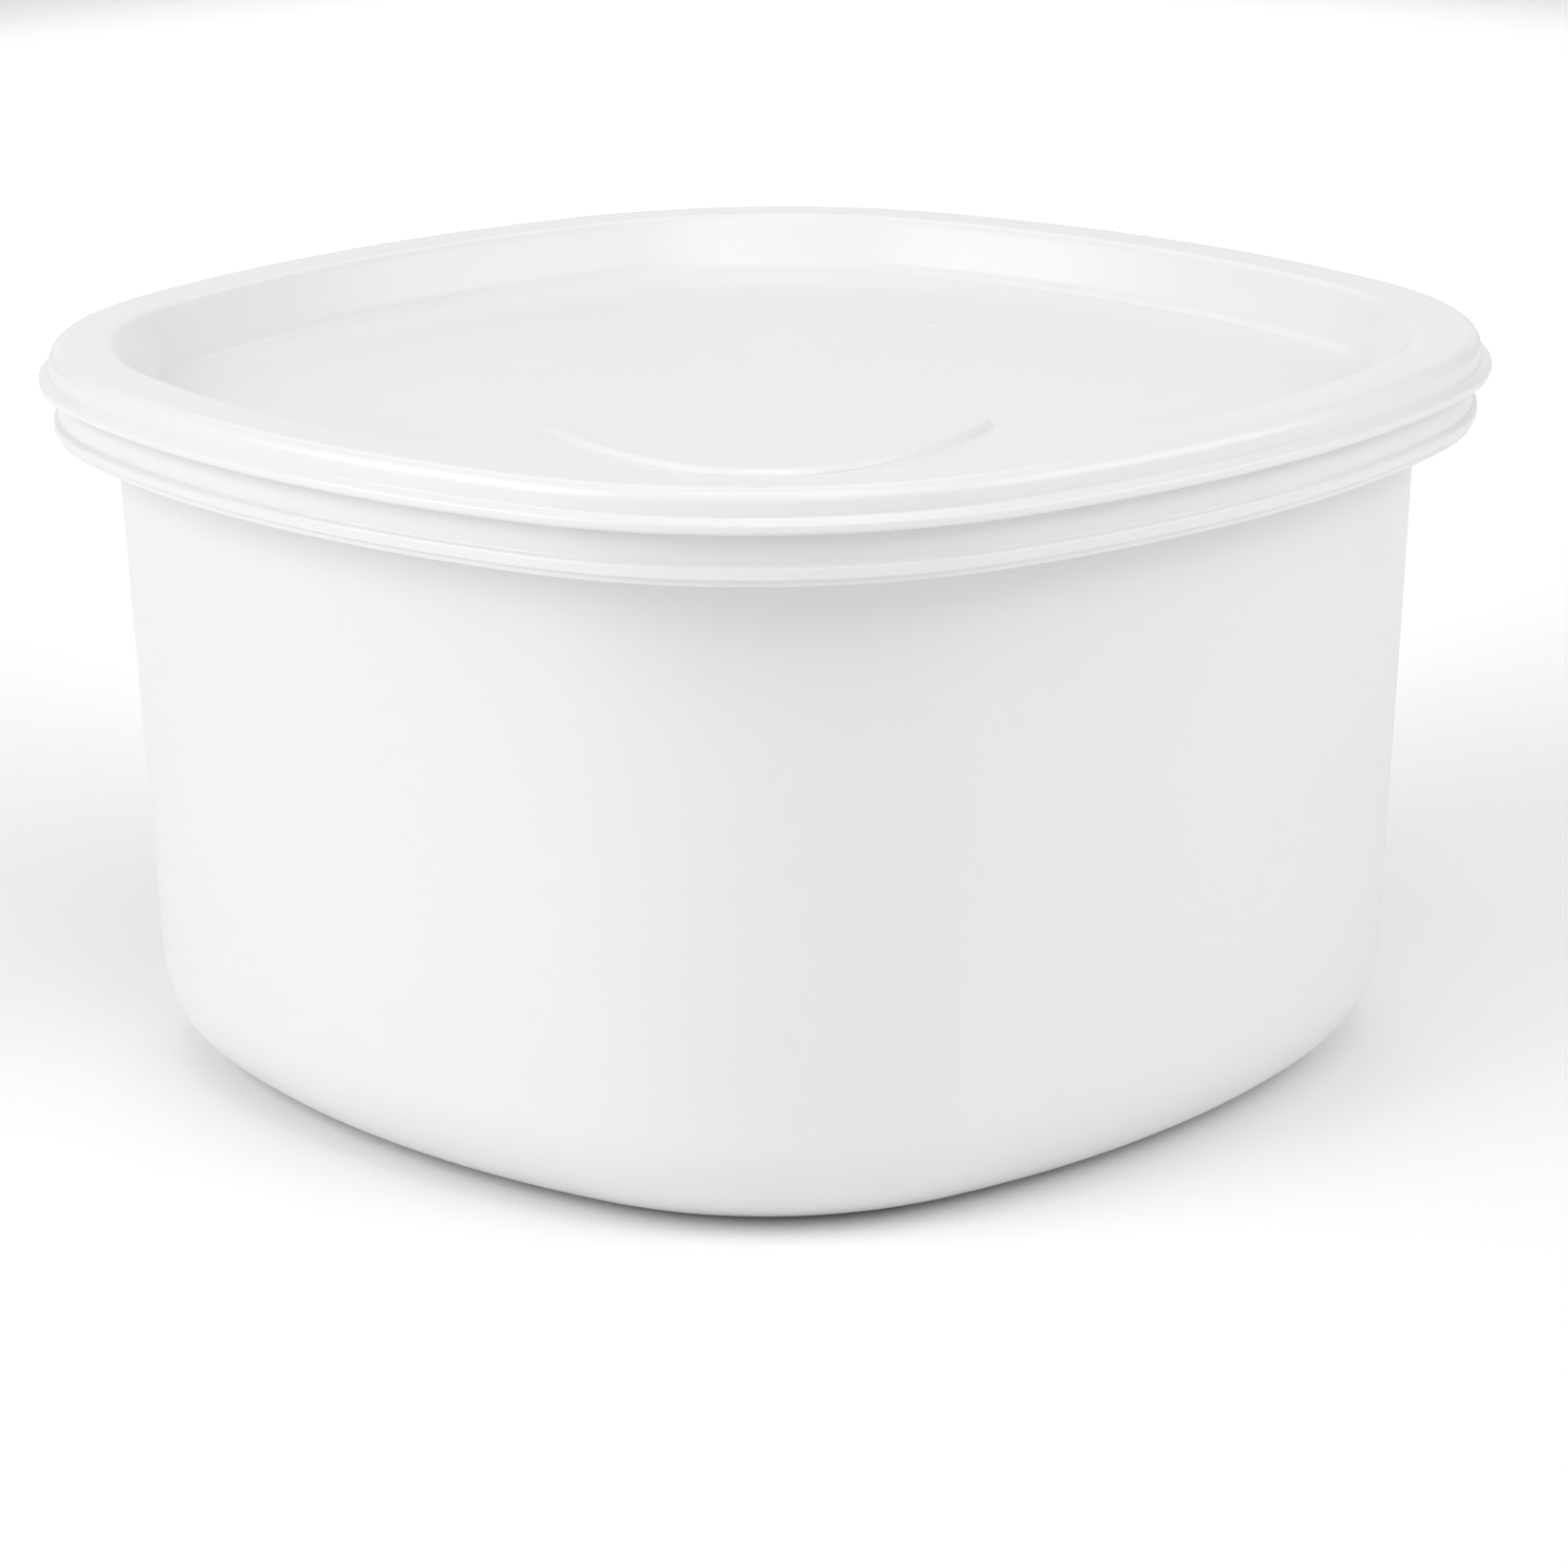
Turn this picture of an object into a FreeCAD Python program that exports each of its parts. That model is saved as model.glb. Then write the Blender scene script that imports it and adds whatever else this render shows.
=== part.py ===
import FreeCAD, Part
import Sketcher
import math
import os

# Square freezer container with bowed sides and rounded corners, standing shut.
# Two pieces: the tub, closed off as one solid because it stays shut, and the lid pressed onto it.
# Millimetres, +Z up, origin on the ground under the middle of the base, sides square to X and Y.
# The lid's finger rib lies towards the corner at -X -Y.

SIZES = [
    ("wall_height", 94.6, "ground to the underside of the tub's flange"),
    ("flange_tall", 2.5, "flange, underside to top"),
    ("neck_tall", 4.7, "bare neck between the flange and the lid's lower edge"),
    ("neck_inset", 0.8, "bare neck inside the line of the lid's side"),
    ("lid_tall", 5.5, "lid's outside, lower edge to top"),
    ("rim_half", 95.0, "middle of the part to the lid's side, at the middle of a side"),
    ("side_bow", 174.5, "radius of the lid's bowed sides"),
    ("corner_bend", 62.1, "radius of the lid's corners"),
    ("rim_width", 9.2, "flat rim round the lid's recess"),
    ("rim_round", 2.0, "rounding of the rim's outer edge"),
    ("rim_inner_round", 2.2, "rounding of the rim's inner edge"),
    ("recess_depth", 8.1, "rim to the recessed panel"),
    ("recess_slope", 4.7, "how far the recess wall leans in over its depth"),
    ("recess_round", 3.0, "rounding between the recess wall and the panel"),
    ("lid_wall", 1.8, "wall of the lid"),
    ("lip_reach", 1.8, "how far the lid's lower lip stands out from its side"),
    ("lip_tall", 1.9, "height of the lip"),
    ("lip_round", 0.9, "rounding of the lip's upper edge"),
    ("lip_edge_round", 0.6, "rounding of the lip's lower edge"),
    ("skirt_thick", 1.3, "lid's skirt outside the seal channel"),
    ("seal_gap", 0.2, "clearance between the lid and the tub"),
    ("seal_ring", 2.4, "thickness of the tub's rim in the seal channel"),
    ("flange_inset", 0.1, "flange's edge inside the line of the lid's side"),
    ("band_tall", 0.9, "thin band under the flange's bead"),
    ("band_inset", 0.5, "how far the band steps in from the bead"),
    ("bead_round", 0.7, "rounding of the bead's upper edge"),
    ("flange_groove", 0.8, "depth of the groove under the flange"),
    ("flange_edge_wall", 1.6, "wall left outside that groove"),
    ("flange_root", 2.6, "solid flange left beside the tub's wall"),
    ("flange_reach", 7.8, "lid's side to the tub's wall just under the flange"),
    ("base_bow", 150.6, "radius of the tub's bowed sides at the ground"),
    ("base_bend", 54.2, "radius of the tub's corners at the ground"),
    ("wall_draft", 4.0, "how far the tub's wall leans out from the ground to the flange"),
    ("base_round", 16.2, "rounding between the walls and the base"),
    ("foot_width", 4.0, "flat ring that the tub stands on"),
    ("foot_tall", 1.2, "height of the base's middle above the ground"),
    ("rib_tip", 59.6, "middle of the lid to the finger rib's tip, along the diagonal"),
    ("rib_tip_bend", 20.0, "radius of the rib's tip"),
    ("rib_tip_turn", 41.5, "degrees the tip turns each way"),
    ("rib_arm_bend", 67.5, "radius of the rib's arms"),
    ("rib_arm_turn", 25.8, "degrees each arm turns"),
    ("rib_wide", 1.8, "rib's width"),
    ("rib_tall", 0.9, "rib's height above the panel"),
    ("rib_round", 0.6, "rounding along the rib's top"),
]

# Levels above the ground, each as a sum of named sizes, a minus taking a size away.
FLANGE_FOOT = ["wall_height"]
BEAD_FOOT = FLANGE_FOOT + ["band_tall"]
FLANGE_TOP = FLANGE_FOOT + ["flange_tall"]
LID_FOOT = FLANGE_TOP + ["neck_tall"]
LID_TOP = LID_FOOT + ["lid_tall"]
LIP_TOP = LID_FOOT + ["lip_tall"]
PANEL = LID_TOP + ["-recess_depth"]
PANEL_UNDERSIDE = PANEL + ["-lid_wall"]
SHOULDER = LID_FOOT + ["-seal_gap"]
PLUG_TALL = ["recess_depth", "lid_wall", "-lid_tall"]
CHANNEL_TALL = ["lid_tall", "-lid_wall"]

# Outlines: half width, side radius and corner radius, each a sum of named sizes.
RIM = (["rim_half"], ["side_bow"], ["corner_bend"])
BASE = (["rim_half", "-flange_reach", "-wall_draft"], ["base_bow"], ["base_bend"])
# Lines: an outline and the steps that move it in or out, added to all three of its numbers.
LIP_LINE = (RIM, ["lip_reach"])
RIM_LINE = (RIM, [])
RECESS_LINE = (RIM, ["-rim_width"])
PANEL_LINE = (RIM, ["-rim_width", "-recess_slope"])
PLUG_LINE = (RIM, ["-rim_width", "lid_wall"])
MOUTH_LINE = (RIM, ["-rim_width", "lid_wall", "seal_gap"])
CHANNEL_LINE = (RIM, ["-skirt_thick"])
NECK_LINE = (RIM, ["-neck_inset"])
SEAL_LINE = (RIM, CHANNEL_LINE[1] + ["-seal_gap"])
RING_LINE = (RIM, SEAL_LINE[1] + ["-seal_ring"])
CHANNEL_INNER_LINE = (RIM, RING_LINE[1] + ["-seal_gap"])
BEAD_LINE = (RIM, ["-flange_inset"])
BAND_LINE = (RIM, BEAD_LINE[1] + ["-band_inset"])
GROOVE_LINE = (RIM, BAND_LINE[1] + ["-flange_edge_wall"])
GROOVE_INNER_LINE = (BASE, ["wall_draft", "flange_root"])
GROUND_LINE = (BASE, [])
SOLE_LINE = (BASE, ["-base_round", "-foot_width"])

# How a sketch numbers its axes, its origin and the points of an arc.
X_AXIS, Y_AXIS = -1, -2
START, END, CENTRE = 1, 2, 3
ORIGIN = (X_AXIS, START)
# How close to a line or a level an edge has to lie to be taken as on it.
ON_LINE = 0.02
# The rib points along the lid's diagonal.
DIAGONAL = 45


def make_sheet(doc):
    sheet = doc.addObject("Spreadsheet::Sheet", "sizes")
    for row, (name, number, note) in enumerate(SIZES, start=1):
        sheet.set("A%d" % row, name)
        sheet.set("B%d" % row, str(number))
        sheet.setAlias("B%d" % row, name)
        sheet.set("C%d" % row, note)
    doc.recompute()
    return sheet


def value(sheet, names):
    """The sum that a list of size names stands for, a name after a minus being taken away."""
    return sum(-sheet.get(n[1:]) if n.startswith("-") else sheet.get(n) for n in names)


def formula(names):
    """The same sum as an expression that the sheet drives."""
    parts = ["- sizes." + n[1:] if n.startswith("-") else "+ sizes." + n for n in names]
    return " ".join(parts).lstrip("+ ")


def outline_numbers(sheet, line):
    """Half width, side radius and corner radius of an outline moved in or out by its steps."""
    outline, steps = line
    return [value(sheet, names + steps) for names in outline]


def corner_centre(half, bow, bend):
    """Where a corner's centre lies on the diagonal, so that the corner meets the sides smoothly."""
    middle = half - bow
    return (middle + math.sqrt(2 * (bow - bend) ** 2 - middle ** 2)) / 2


def place_sketch(body, name, level):
    plane = [f for f in body.Origin.OriginFeatures if f.Role == "XY_Plane"][0]
    sketch = body.newObject("Sketcher::SketchObject", name)
    sketch.AttachmentSupport = [(plane, "")]
    sketch.MapMode = "FlatFace"
    if level:
        sketch.setExpression(".AttachmentOffset.Base.z", formula(level))
    return sketch


def drive(sketch, constraint, name, expression):
    """Adds a constraint under a name and binds its size to the sheet."""
    index = sketch.addConstraint(constraint)
    sketch.renameConstraint(index, name)
    sketch.setExpression("Constraints." + name, expression)


def add_outline(sketch, sheet, line, tag):
    """A square with bowed sides and round corners: four side arcs and four corner arcs, all tangent."""
    outline, steps = line
    half, bow, bend = outline_numbers(sheet, line)
    middle = half - bow
    corner = corner_centre(half, bow, bend)
    meet = math.atan2(corner, corner - middle)
    up = FreeCAD.Vector(0, 0, 1)
    sides = []
    corners = []
    for quarter in range(4):
        turn = quarter * math.pi / 2
        spin = FreeCAD.Rotation(up, math.degrees(turn))
        side = Part.Circle(spin.multVec(FreeCAD.Vector(middle, 0, 0)), up, bow)
        sides.append(sketch.addGeometry(Part.ArcOfCircle(side, turn - meet, turn + meet)))
        bent = Part.Circle(spin.multVec(FreeCAD.Vector(corner, corner, 0)), up, bend)
        corners.append(sketch.addGeometry(Part.ArcOfCircle(bent, turn + meet, turn + math.pi / 2 - meet)))
    for quarter in range(4):
        after = sides[(quarter + 1) % 4]
        sketch.addConstraint(Sketcher.Constraint("Tangent", sides[quarter], END, corners[quarter], START))
        sketch.addConstraint(Sketcher.Constraint("Tangent", corners[quarter], END, after, START))
        axis = X_AXIS if quarter % 2 == 0 else Y_AXIS
        sketch.addConstraint(Sketcher.Constraint("PointOnObject", sides[quarter], CENTRE, axis))
    for quarter in range(1, 4):
        sketch.addConstraint(Sketcher.Constraint("Equal", sides[0], sides[quarter]))
        sketch.addConstraint(Sketcher.Constraint("Equal", corners[0], corners[quarter]))
    halves, bows, bends = outline
    drive(sketch, Sketcher.Constraint("Radius", sides[0], bow), tag + "_side", formula(bows + steps))
    drive(sketch, Sketcher.Constraint("Radius", corners[0], bend), tag + "_corner", formula(bends + steps))
    set_back = "%s - (%s)" % (formula(bows), formula(halves))
    for quarter in range(4):
        kind = "DistanceX" if quarter % 2 == 0 else "DistanceY"
        ends = [(sides[quarter], CENTRE), ORIGIN]
        if quarter > 1:
            ends.reverse()
        rule = Sketcher.Constraint(kind, *ends[0], *ends[1], -middle)
        drive(sketch, rule, "%s_back_%d" % (tag, quarter), set_back)


def outline_sketch(body, sheet, name, level, *lines):
    """One outline, or two for a ring, drawn at a level."""
    sketch = place_sketch(body, name, level)
    for number, line in enumerate(lines):
        add_outline(sketch, sheet, line, "line%d" % number)
    return sketch


def pad(body, name, sketch, height):
    feature = body.newObject("PartDesign::Pad", name)
    feature.Profile = sketch
    feature.setExpression("Length", height)
    return feature


def pocket(body, name, sketch, depth, upwards):
    feature = body.newObject("PartDesign::Pocket", name)
    feature.Profile = sketch
    feature.setExpression("Length", depth)
    feature.Reversed = upwards
    return feature


def lean_out(body, name, feature, angle):
    """Leans every side face out from the face that the feature stands on."""
    body.Document.recompute()
    faces = list(enumerate(feature.Shape.Faces, start=1))
    ground = min(faces, key=lambda numbered: numbered[1].BoundBox.ZMax)[0]
    sides = ["Face%d" % index for index, face in faces if face.BoundBox.ZLength > ON_LINE]
    draft = body.newObject("PartDesign::Draft", name)
    draft.Base = (feature, sides)
    draft.NeutralPlane = (feature, ["Face%d" % ground])
    draft.Reversed = True
    draft.setExpression("Angle", angle)
    return draft


def distance_to_outline(point, half, bow, bend):
    """How far a point lies outside an outline, all eight mirrored parts of which are alike."""
    x, y = sorted((abs(point.x), abs(point.y)), reverse=True)
    middle = half - bow
    corner = corner_centre(half, bow, bend)
    if math.atan2(y, x - middle) <= math.atan2(corner, corner - middle):
        return math.hypot(x - middle, y) - bow
    return math.hypot(x - corner, y - corner) - bend


def edges_on_outline(feature, sheet, level, line):
    """Names of the edges that run along an outline at a level."""
    height = value(sheet, level)
    numbers = outline_numbers(sheet, line)
    names = []
    for index, edge in enumerate(feature.Shape.Edges, start=1):
        box = edge.BoundBox
        if abs(box.ZMin - height) > ON_LINE or abs(box.ZMax - height) > ON_LINE:
            continue
        middle = edge.valueAt((edge.FirstParameter + edge.LastParameter) / 2)
        if abs(distance_to_outline(middle, *numbers)) < ON_LINE:
            names.append("Edge%d" % index)
    return names


def round_edges(body, sheet, name, radius, level, line):
    """Rounds the ring of edges that runs along an outline at a level."""
    body.Document.recompute()
    base = body.Tip
    names = edges_on_outline(base, sheet, level, line)
    if not names:
        raise RuntimeError("%s finds no edges" % name)
    feature = body.newObject("PartDesign::Fillet", name)
    feature.Base = (base, names)
    feature.setExpression("Radius", "sizes." + radius)
    return feature


def add_rib_outline(sketch, sheet):
    """A bowed arch of even width: a tight arc at the tip, a wide arc for each arm and round ends."""
    tip, tip_bend, arm_bend, wide = (
        sheet.get(n) for n in ("rib_tip", "rib_tip_bend", "rib_arm_bend", "rib_wide")
    )
    tip_turn = math.radians(sheet.get("rib_tip_turn"))
    arm_turn = math.radians(sheet.get("rib_arm_turn"))
    up = FreeCAD.Vector(0, 0, 1)
    down = -math.pi / 2
    centre = FreeCAD.Vector(0, tip_bend - tip, 0)

    def arc(middle, radius, first, last):
        return sketch.addGeometry(Part.ArcOfCircle(Part.Circle(middle, up, radius), first, last))

    def towards(angle, length):
        return FreeCAD.Vector(math.cos(angle), math.sin(angle), 0) * length

    tips = [arc(centre, tip_bend + s * wide / 2, down - tip_turn, down + tip_turn) for s in (1, -1)]
    arms = {}
    for side in (1, -1):
        bend_at = down + side * tip_turn
        stop_at = bend_at + side * arm_turn
        arm_centre = centre - towards(bend_at, arm_bend - tip_bend)
        span = sorted((bend_at, stop_at))
        arms[side] = [arc(arm_centre, arm_bend + s * wide / 2, *span) for s in (1, -1)]
        cap_centre = arm_centre + towards(stop_at, arm_bend)
        cap_from = stop_at if side > 0 else stop_at - math.pi
        arms[side].append(arc(cap_centre, wide / 2, cap_from, cap_from + math.pi))

    def tangent(first, first_point, second, second_point):
        sketch.addConstraint(Sketcher.Constraint("Tangent", first, first_point, second, second_point))

    sketch.addConstraint(Sketcher.Constraint("PointOnObject", tips[0], CENTRE, Y_AXIS))
    sketch.addConstraint(Sketcher.Constraint("Coincident", tips[1], CENTRE, tips[0], CENTRE))
    sketch.addConstraint(Sketcher.Constraint("Horizontal", tips[0], START, tips[0], END))
    for side, near, far in ((1, START, END), (-1, END, START)):
        outer, inner, cap = arms[side]
        tangent(tips[0], far, outer, near)
        tangent(tips[1], far, inner, near)
        sketch.addConstraint(Sketcher.Constraint("Coincident", inner, CENTRE, outer, CENTRE))
        tangent(outer, far, cap, near)
        tangent(inner, far, cap, far)
        turn = Sketcher.Constraint("Angle", outer, arm_turn)
        drive(sketch, turn, "arm_turn_right" if side > 0 else "arm_turn_left", "sizes.rib_arm_turn * 1deg")
    sketch.addConstraint(Sketcher.Constraint("Equal", arms[1][0], arms[-1][0]))
    outer_bend = "sizes.rib_arm_bend + sizes.rib_wide / 2"
    drive(sketch, Sketcher.Constraint("Radius", arms[1][0], arm_bend + wide / 2), "arm_bend", outer_bend)
    for line, side, name in ((tips[0], 1, "tip_outer"), (tips[1], -1, "tip_inner")):
        bend = tip_bend + side * wide / 2
        text = "sizes.rib_tip_bend + sizes.rib_wide * %d / 2" % side
        drive(sketch, Sketcher.Constraint("Radius", line, bend), name, text)
    both_ways = Sketcher.Constraint("Angle", tips[0], 2 * tip_turn)
    drive(sketch, both_ways, "tip_turn", "sizes.rib_tip_turn * 2deg")
    reach = Sketcher.Constraint("DistanceY", tips[0], CENTRE, *ORIGIN, tip - tip_bend)
    drive(sketch, reach, "tip_reach", "sizes.rib_tip - sizes.rib_tip_bend")


def make_tub(doc, sheet):
    body = doc.addObject("PartDesign::Body", "tub")
    body.Label = "tub"

    ground = outline_sketch(body, sheet, "ground_line", [], GROUND_LINE)
    wall = pad(body, "wall", ground, formula(["wall_height"]))
    lean_out(body, "wall_draft", wall, "atan(sizes.wall_draft / sizes.wall_height)")
    round_edges(body, sheet, "base_rounding", "base_round", [], GROUND_LINE)
    sole = outline_sketch(body, sheet, "sole_line", [], SOLE_LINE)
    pocket(body, "sole", sole, formula(["foot_tall"]), True)

    band = outline_sketch(body, sheet, "band_line", FLANGE_FOOT, BAND_LINE)
    pad(body, "band", band, formula(["flange_tall"]))
    bead = outline_sketch(body, sheet, "bead_line", BEAD_FOOT, BEAD_LINE)
    pad(body, "bead", bead, formula(["flange_tall", "-band_tall"]))
    groove = outline_sketch(body, sheet, "groove_line", FLANGE_FOOT, GROOVE_LINE, GROOVE_INNER_LINE)
    pocket(body, "flange_groove", groove, formula(["flange_groove"]), True)
    round_edges(body, sheet, "bead_rounding", "bead_round", FLANGE_TOP, BEAD_LINE)

    neck = outline_sketch(body, sheet, "neck_line", FLANGE_TOP, NECK_LINE)
    pad(body, "neck", neck, formula(["neck_tall", "-seal_gap"]))
    mouth = outline_sketch(body, sheet, "mouth_line", SHOULDER, MOUTH_LINE)
    pocket(body, "mouth", mouth, formula(PLUG_TALL), False)
    ring = outline_sketch(body, sheet, "ring_line", SHOULDER, SEAL_LINE, RING_LINE)
    pad(body, "seal_rim", ring, formula(CHANNEL_TALL + ["seal_gap"]))
    return body


def make_lid(doc, sheet):
    body = doc.addObject("PartDesign::Body", "lid")
    body.Label = "lid"

    rim = outline_sketch(body, sheet, "rim_line", LID_FOOT, RIM_LINE)
    pad(body, "rim", rim, formula(["lid_tall"]))
    lip = outline_sketch(body, sheet, "lip_line", LID_FOOT, LIP_LINE)
    pad(body, "lip", lip, formula(["lip_tall"]))
    plug = outline_sketch(body, sheet, "plug_line", PANEL_UNDERSIDE, PLUG_LINE)
    pad(body, "plug", plug, formula(PLUG_TALL))

    recess = body.newObject("PartDesign::SubtractiveLoft", "recess")
    recess.Profile = outline_sketch(body, sheet, "recess_line", LID_TOP, RECESS_LINE)
    recess.Sections = [outline_sketch(body, sheet, "panel_line", PANEL, PANEL_LINE)]
    channel = outline_sketch(body, sheet, "channel_line", LID_FOOT, CHANNEL_LINE, CHANNEL_INNER_LINE)
    pocket(body, "seal_channel", channel, formula(CHANNEL_TALL), True)

    round_edges(body, sheet, "lip_rounding", "lip_round", LIP_TOP, LIP_LINE)
    round_edges(body, sheet, "lip_edge_rounding", "lip_edge_round", LID_FOOT, LIP_LINE)
    round_edges(body, sheet, "rim_rounding", "rim_round", LID_TOP, RIM_LINE)
    round_edges(body, sheet, "rim_inner_rounding", "rim_inner_round", LID_TOP, RECESS_LINE)
    round_edges(body, sheet, "recess_rounding", "recess_round", PANEL, PANEL_LINE)

    rib = place_sketch(body, "rib_line", PANEL)
    rib.AttachmentOffset = FreeCAD.Placement(rib.AttachmentOffset.Base, FreeCAD.Rotation(-DIAGONAL, 0, 0))
    add_rib_outline(rib, sheet)
    arch = pad(body, "rib", rib, "sizes.rib_tall")
    doc.recompute()
    crest = value(sheet, PANEL + ["rib_tall"])
    names = [
        "Edge%d" % index
        for index, edge in enumerate(arch.Shape.Edges, start=1)
        if abs(edge.BoundBox.ZMin - crest) < ON_LINE and abs(edge.BoundBox.ZMax - crest) < ON_LINE
    ]
    crown = body.newObject("PartDesign::Fillet", "rib_rounding")
    crown.Base = (arch, names)
    crown.setExpression("Radius", "sizes.rib_round")
    return body


def check(doc, bodies):
    for thing in doc.Objects:
        if "Invalid" in thing.State or "Error" in thing.State:
            raise RuntimeError("%s failed: %s" % (thing.Name, thing.State))
    for body in bodies:
        shape = body.Shape
        if shape.isNull() or not shape.isValid() or len(shape.Solids) != 1:
            raise RuntimeError("%s is not one sound solid" % body.Label)
        for feature in body.Group:
            if not feature.isDerivedFrom("PartDesign::Feature"):
                continue
            change = feature.Shape.Volume - (feature.BaseFeature.Shape.Volume if feature.BaseFeature else 0)
            print("%-6s %-20s %12.1f mm3" % (body.Label, feature.Label, change))
        box = shape.BoundBox
        print(body.Label, "volume", round(shape.Volume), "box", box)


def main():
    doc = FreeCAD.newDocument("freezer_container")
    sheet = make_sheet(doc)
    bodies = [make_tub(doc, sheet), make_lid(doc, sheet)]
    doc.recompute()
    check(doc, bodies)
    os.makedirs("parts", exist_ok=True)
    for body in bodies:
        body.Shape.exportStep(os.path.join("parts", body.Label + ".step"))


main()
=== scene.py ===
"""Freezer container, standing shut: tub and lid as moulded shells, their plastic, and the studio round them.

Each shell is one section, swept round a square with bowed sides and round corners by Geometry Nodes.
Everything is in metres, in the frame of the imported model: +Z up, origin on the ground under the base.
"""

import math

import bmesh
import bpy
from bpy.props import FloatProperty, FloatVectorProperty, IntProperty, PointerProperty
from mathutils import Matrix, Vector


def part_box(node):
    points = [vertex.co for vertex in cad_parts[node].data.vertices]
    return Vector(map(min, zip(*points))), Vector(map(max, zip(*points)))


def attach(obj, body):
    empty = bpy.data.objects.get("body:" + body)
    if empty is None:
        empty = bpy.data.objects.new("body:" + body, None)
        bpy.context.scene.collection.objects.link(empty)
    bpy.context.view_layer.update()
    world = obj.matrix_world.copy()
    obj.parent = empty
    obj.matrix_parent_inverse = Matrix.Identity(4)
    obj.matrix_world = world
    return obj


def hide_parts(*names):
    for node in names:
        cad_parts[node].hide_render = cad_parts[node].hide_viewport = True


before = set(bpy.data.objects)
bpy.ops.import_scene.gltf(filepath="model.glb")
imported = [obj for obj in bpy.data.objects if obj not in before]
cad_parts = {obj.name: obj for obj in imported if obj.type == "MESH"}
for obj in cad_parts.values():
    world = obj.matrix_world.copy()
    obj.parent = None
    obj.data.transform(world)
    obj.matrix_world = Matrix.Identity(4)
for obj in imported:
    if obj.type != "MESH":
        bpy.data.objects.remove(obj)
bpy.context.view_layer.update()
LID_LOW, LID_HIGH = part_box("lid")
TUB_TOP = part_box("tub")[1].z

bl_info = {
    "name": "Freezer container",
    "version": (1, 0, 0),
    "blender": (4, 5, 0),
    "location": "3D View > Sidebar > Container",
    "description": "Builds a square freezer container with a press-on lid, and a plain studio for it",
    "category": "Add Mesh",
}

BODY = "root"
DEGREES_PER_POINT = 7.0
SMOOTH_UP_TO = math.radians(32.0)
QUARTER = math.pi / 2
# How far the lid's lip stands out from its side, which the outline's width is worked out from.
LIP_REACH = 0.0018
# Room left between the tub's hidden top and the lid over it.
CLEARANCE = 0.0002
# Points nearer than this are one point.
SAME_POINT = 1e-6

# The rib: length between two stations, depth sunk into the panel, its upright foot as a share of its height,
# its flat crest and its rounded end as shares of half its width, and the least share of it left at an end.
RIB_STEP = 0.0006
RIB_SUNK = 0.0004
RIB_FOOT = 0.15
RIB_CREST = 0.45
RIB_END = 0.7
RIB_LEAST = 0.02


# ---------------------------------------------------------------- sizes and colours


def length(name, description, default):
    return FloatProperty(name=name, description=description, default=default, unit="LENGTH", precision=5)


def colour(name, description, default):
    return FloatVectorProperty(name=name, description=description, default=default, size=3, subtype="COLOR")


def number(name, description, default):
    return FloatProperty(name=name, description=description, default=default, precision=4)


class OutlineSizes(bpy.types.PropertyGroup):
    rim_half: length("Lid half width", "Middle of the part to the lid's side", LID_HIGH.x - LIP_REACH)
    rim_bow: length("Lid side radius", "Radius of the lid's bowed sides", 0.1745)
    rim_bend: length("Lid corner radius", "Radius of the lid's corners", 0.0621)
    flange_reach: length("Flange reach", "Lid's side to the tub's wall just under the flange", 0.0078)
    wall_draft: length("Wall draft", "How far the tub's wall leans out on its way up", 0.004)
    wall_bow: length("Tub side radius", "Radius of the tub's bowed sides at the ground", 0.1506)
    wall_bend: length("Tub corner radius", "Radius of the tub's corners at the ground", 0.0542)
    around: IntProperty(name="Points around", description="Points in a line round it", default=480, min=32)


class TubSizes(bpy.types.PropertyGroup):
    wall_height: length("Wall height", "Ground to the underside of the flange", 0.0946)
    base_round: length("Base rounding", "Rounding between the walls and the base", 0.0162)
    foot_width: length("Foot width", "Flat ring that the tub stands on", 0.004)
    foot_tall: length("Foot height", "Height of the base's middle above the ground", 0.0012)
    foot_round: length("Foot rounding", "Rounding of the foot's inner edge", 0.0004)
    root_round: length("Root rounding", "Rounding between the wall and the flange", 0.0012)
    flange_tall: length("Flange height", "Flange, underside to top", 0.0025)
    flange_inset: length("Bead inset", "Flange's edge inside the line of the lid's side", 0.0001)
    flange_root: length("Flange root", "Solid flange left beside the wall", 0.0026)
    flange_edge: length("Flange edge", "Wall left outside the groove under the flange", 0.0016)
    flange_groove: length("Flange groove", "Depth of the groove under the flange", 0.0008)
    band_tall: length("Band height", "Thin band under the flange's bead", 0.0009)
    band_inset: length("Band inset", "How far the band steps in from the bead", 0.0005)
    band_round: length("Band rounding", "Rounding of the band's lower edge and of the bead's", 0.0003)
    band_fold: length("Band fold", "Rounding between the band and the bead", 0.0002)
    bead_round: length("Bead rounding", "Rounding of the bead's upper edge", 0.0007)
    neck_inset: length("Neck inset", "Neck inside the line of the lid's side", 0.0008)
    neck_rise: length("Neck rise", "How far the flange's top climbs to the neck", 0.00035)
    neck_round: length("Neck rounding", "Rounding between the flange's top and the neck", 0.0005)
    neck_lean: length("Neck lean", "How far the neck leans in on its way up", 0.0001)
    neck_fold: length("Neck fold", "Rounding of the neck's upper edge", 0.0002)
    ring_inset: length("Seal rim inset", "Tub's rim inside the line of the lid's side", 0.0015)
    ring_thick: length("Seal rim", "Thickness of the tub's rim in the lid's channel", 0.0024)


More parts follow.
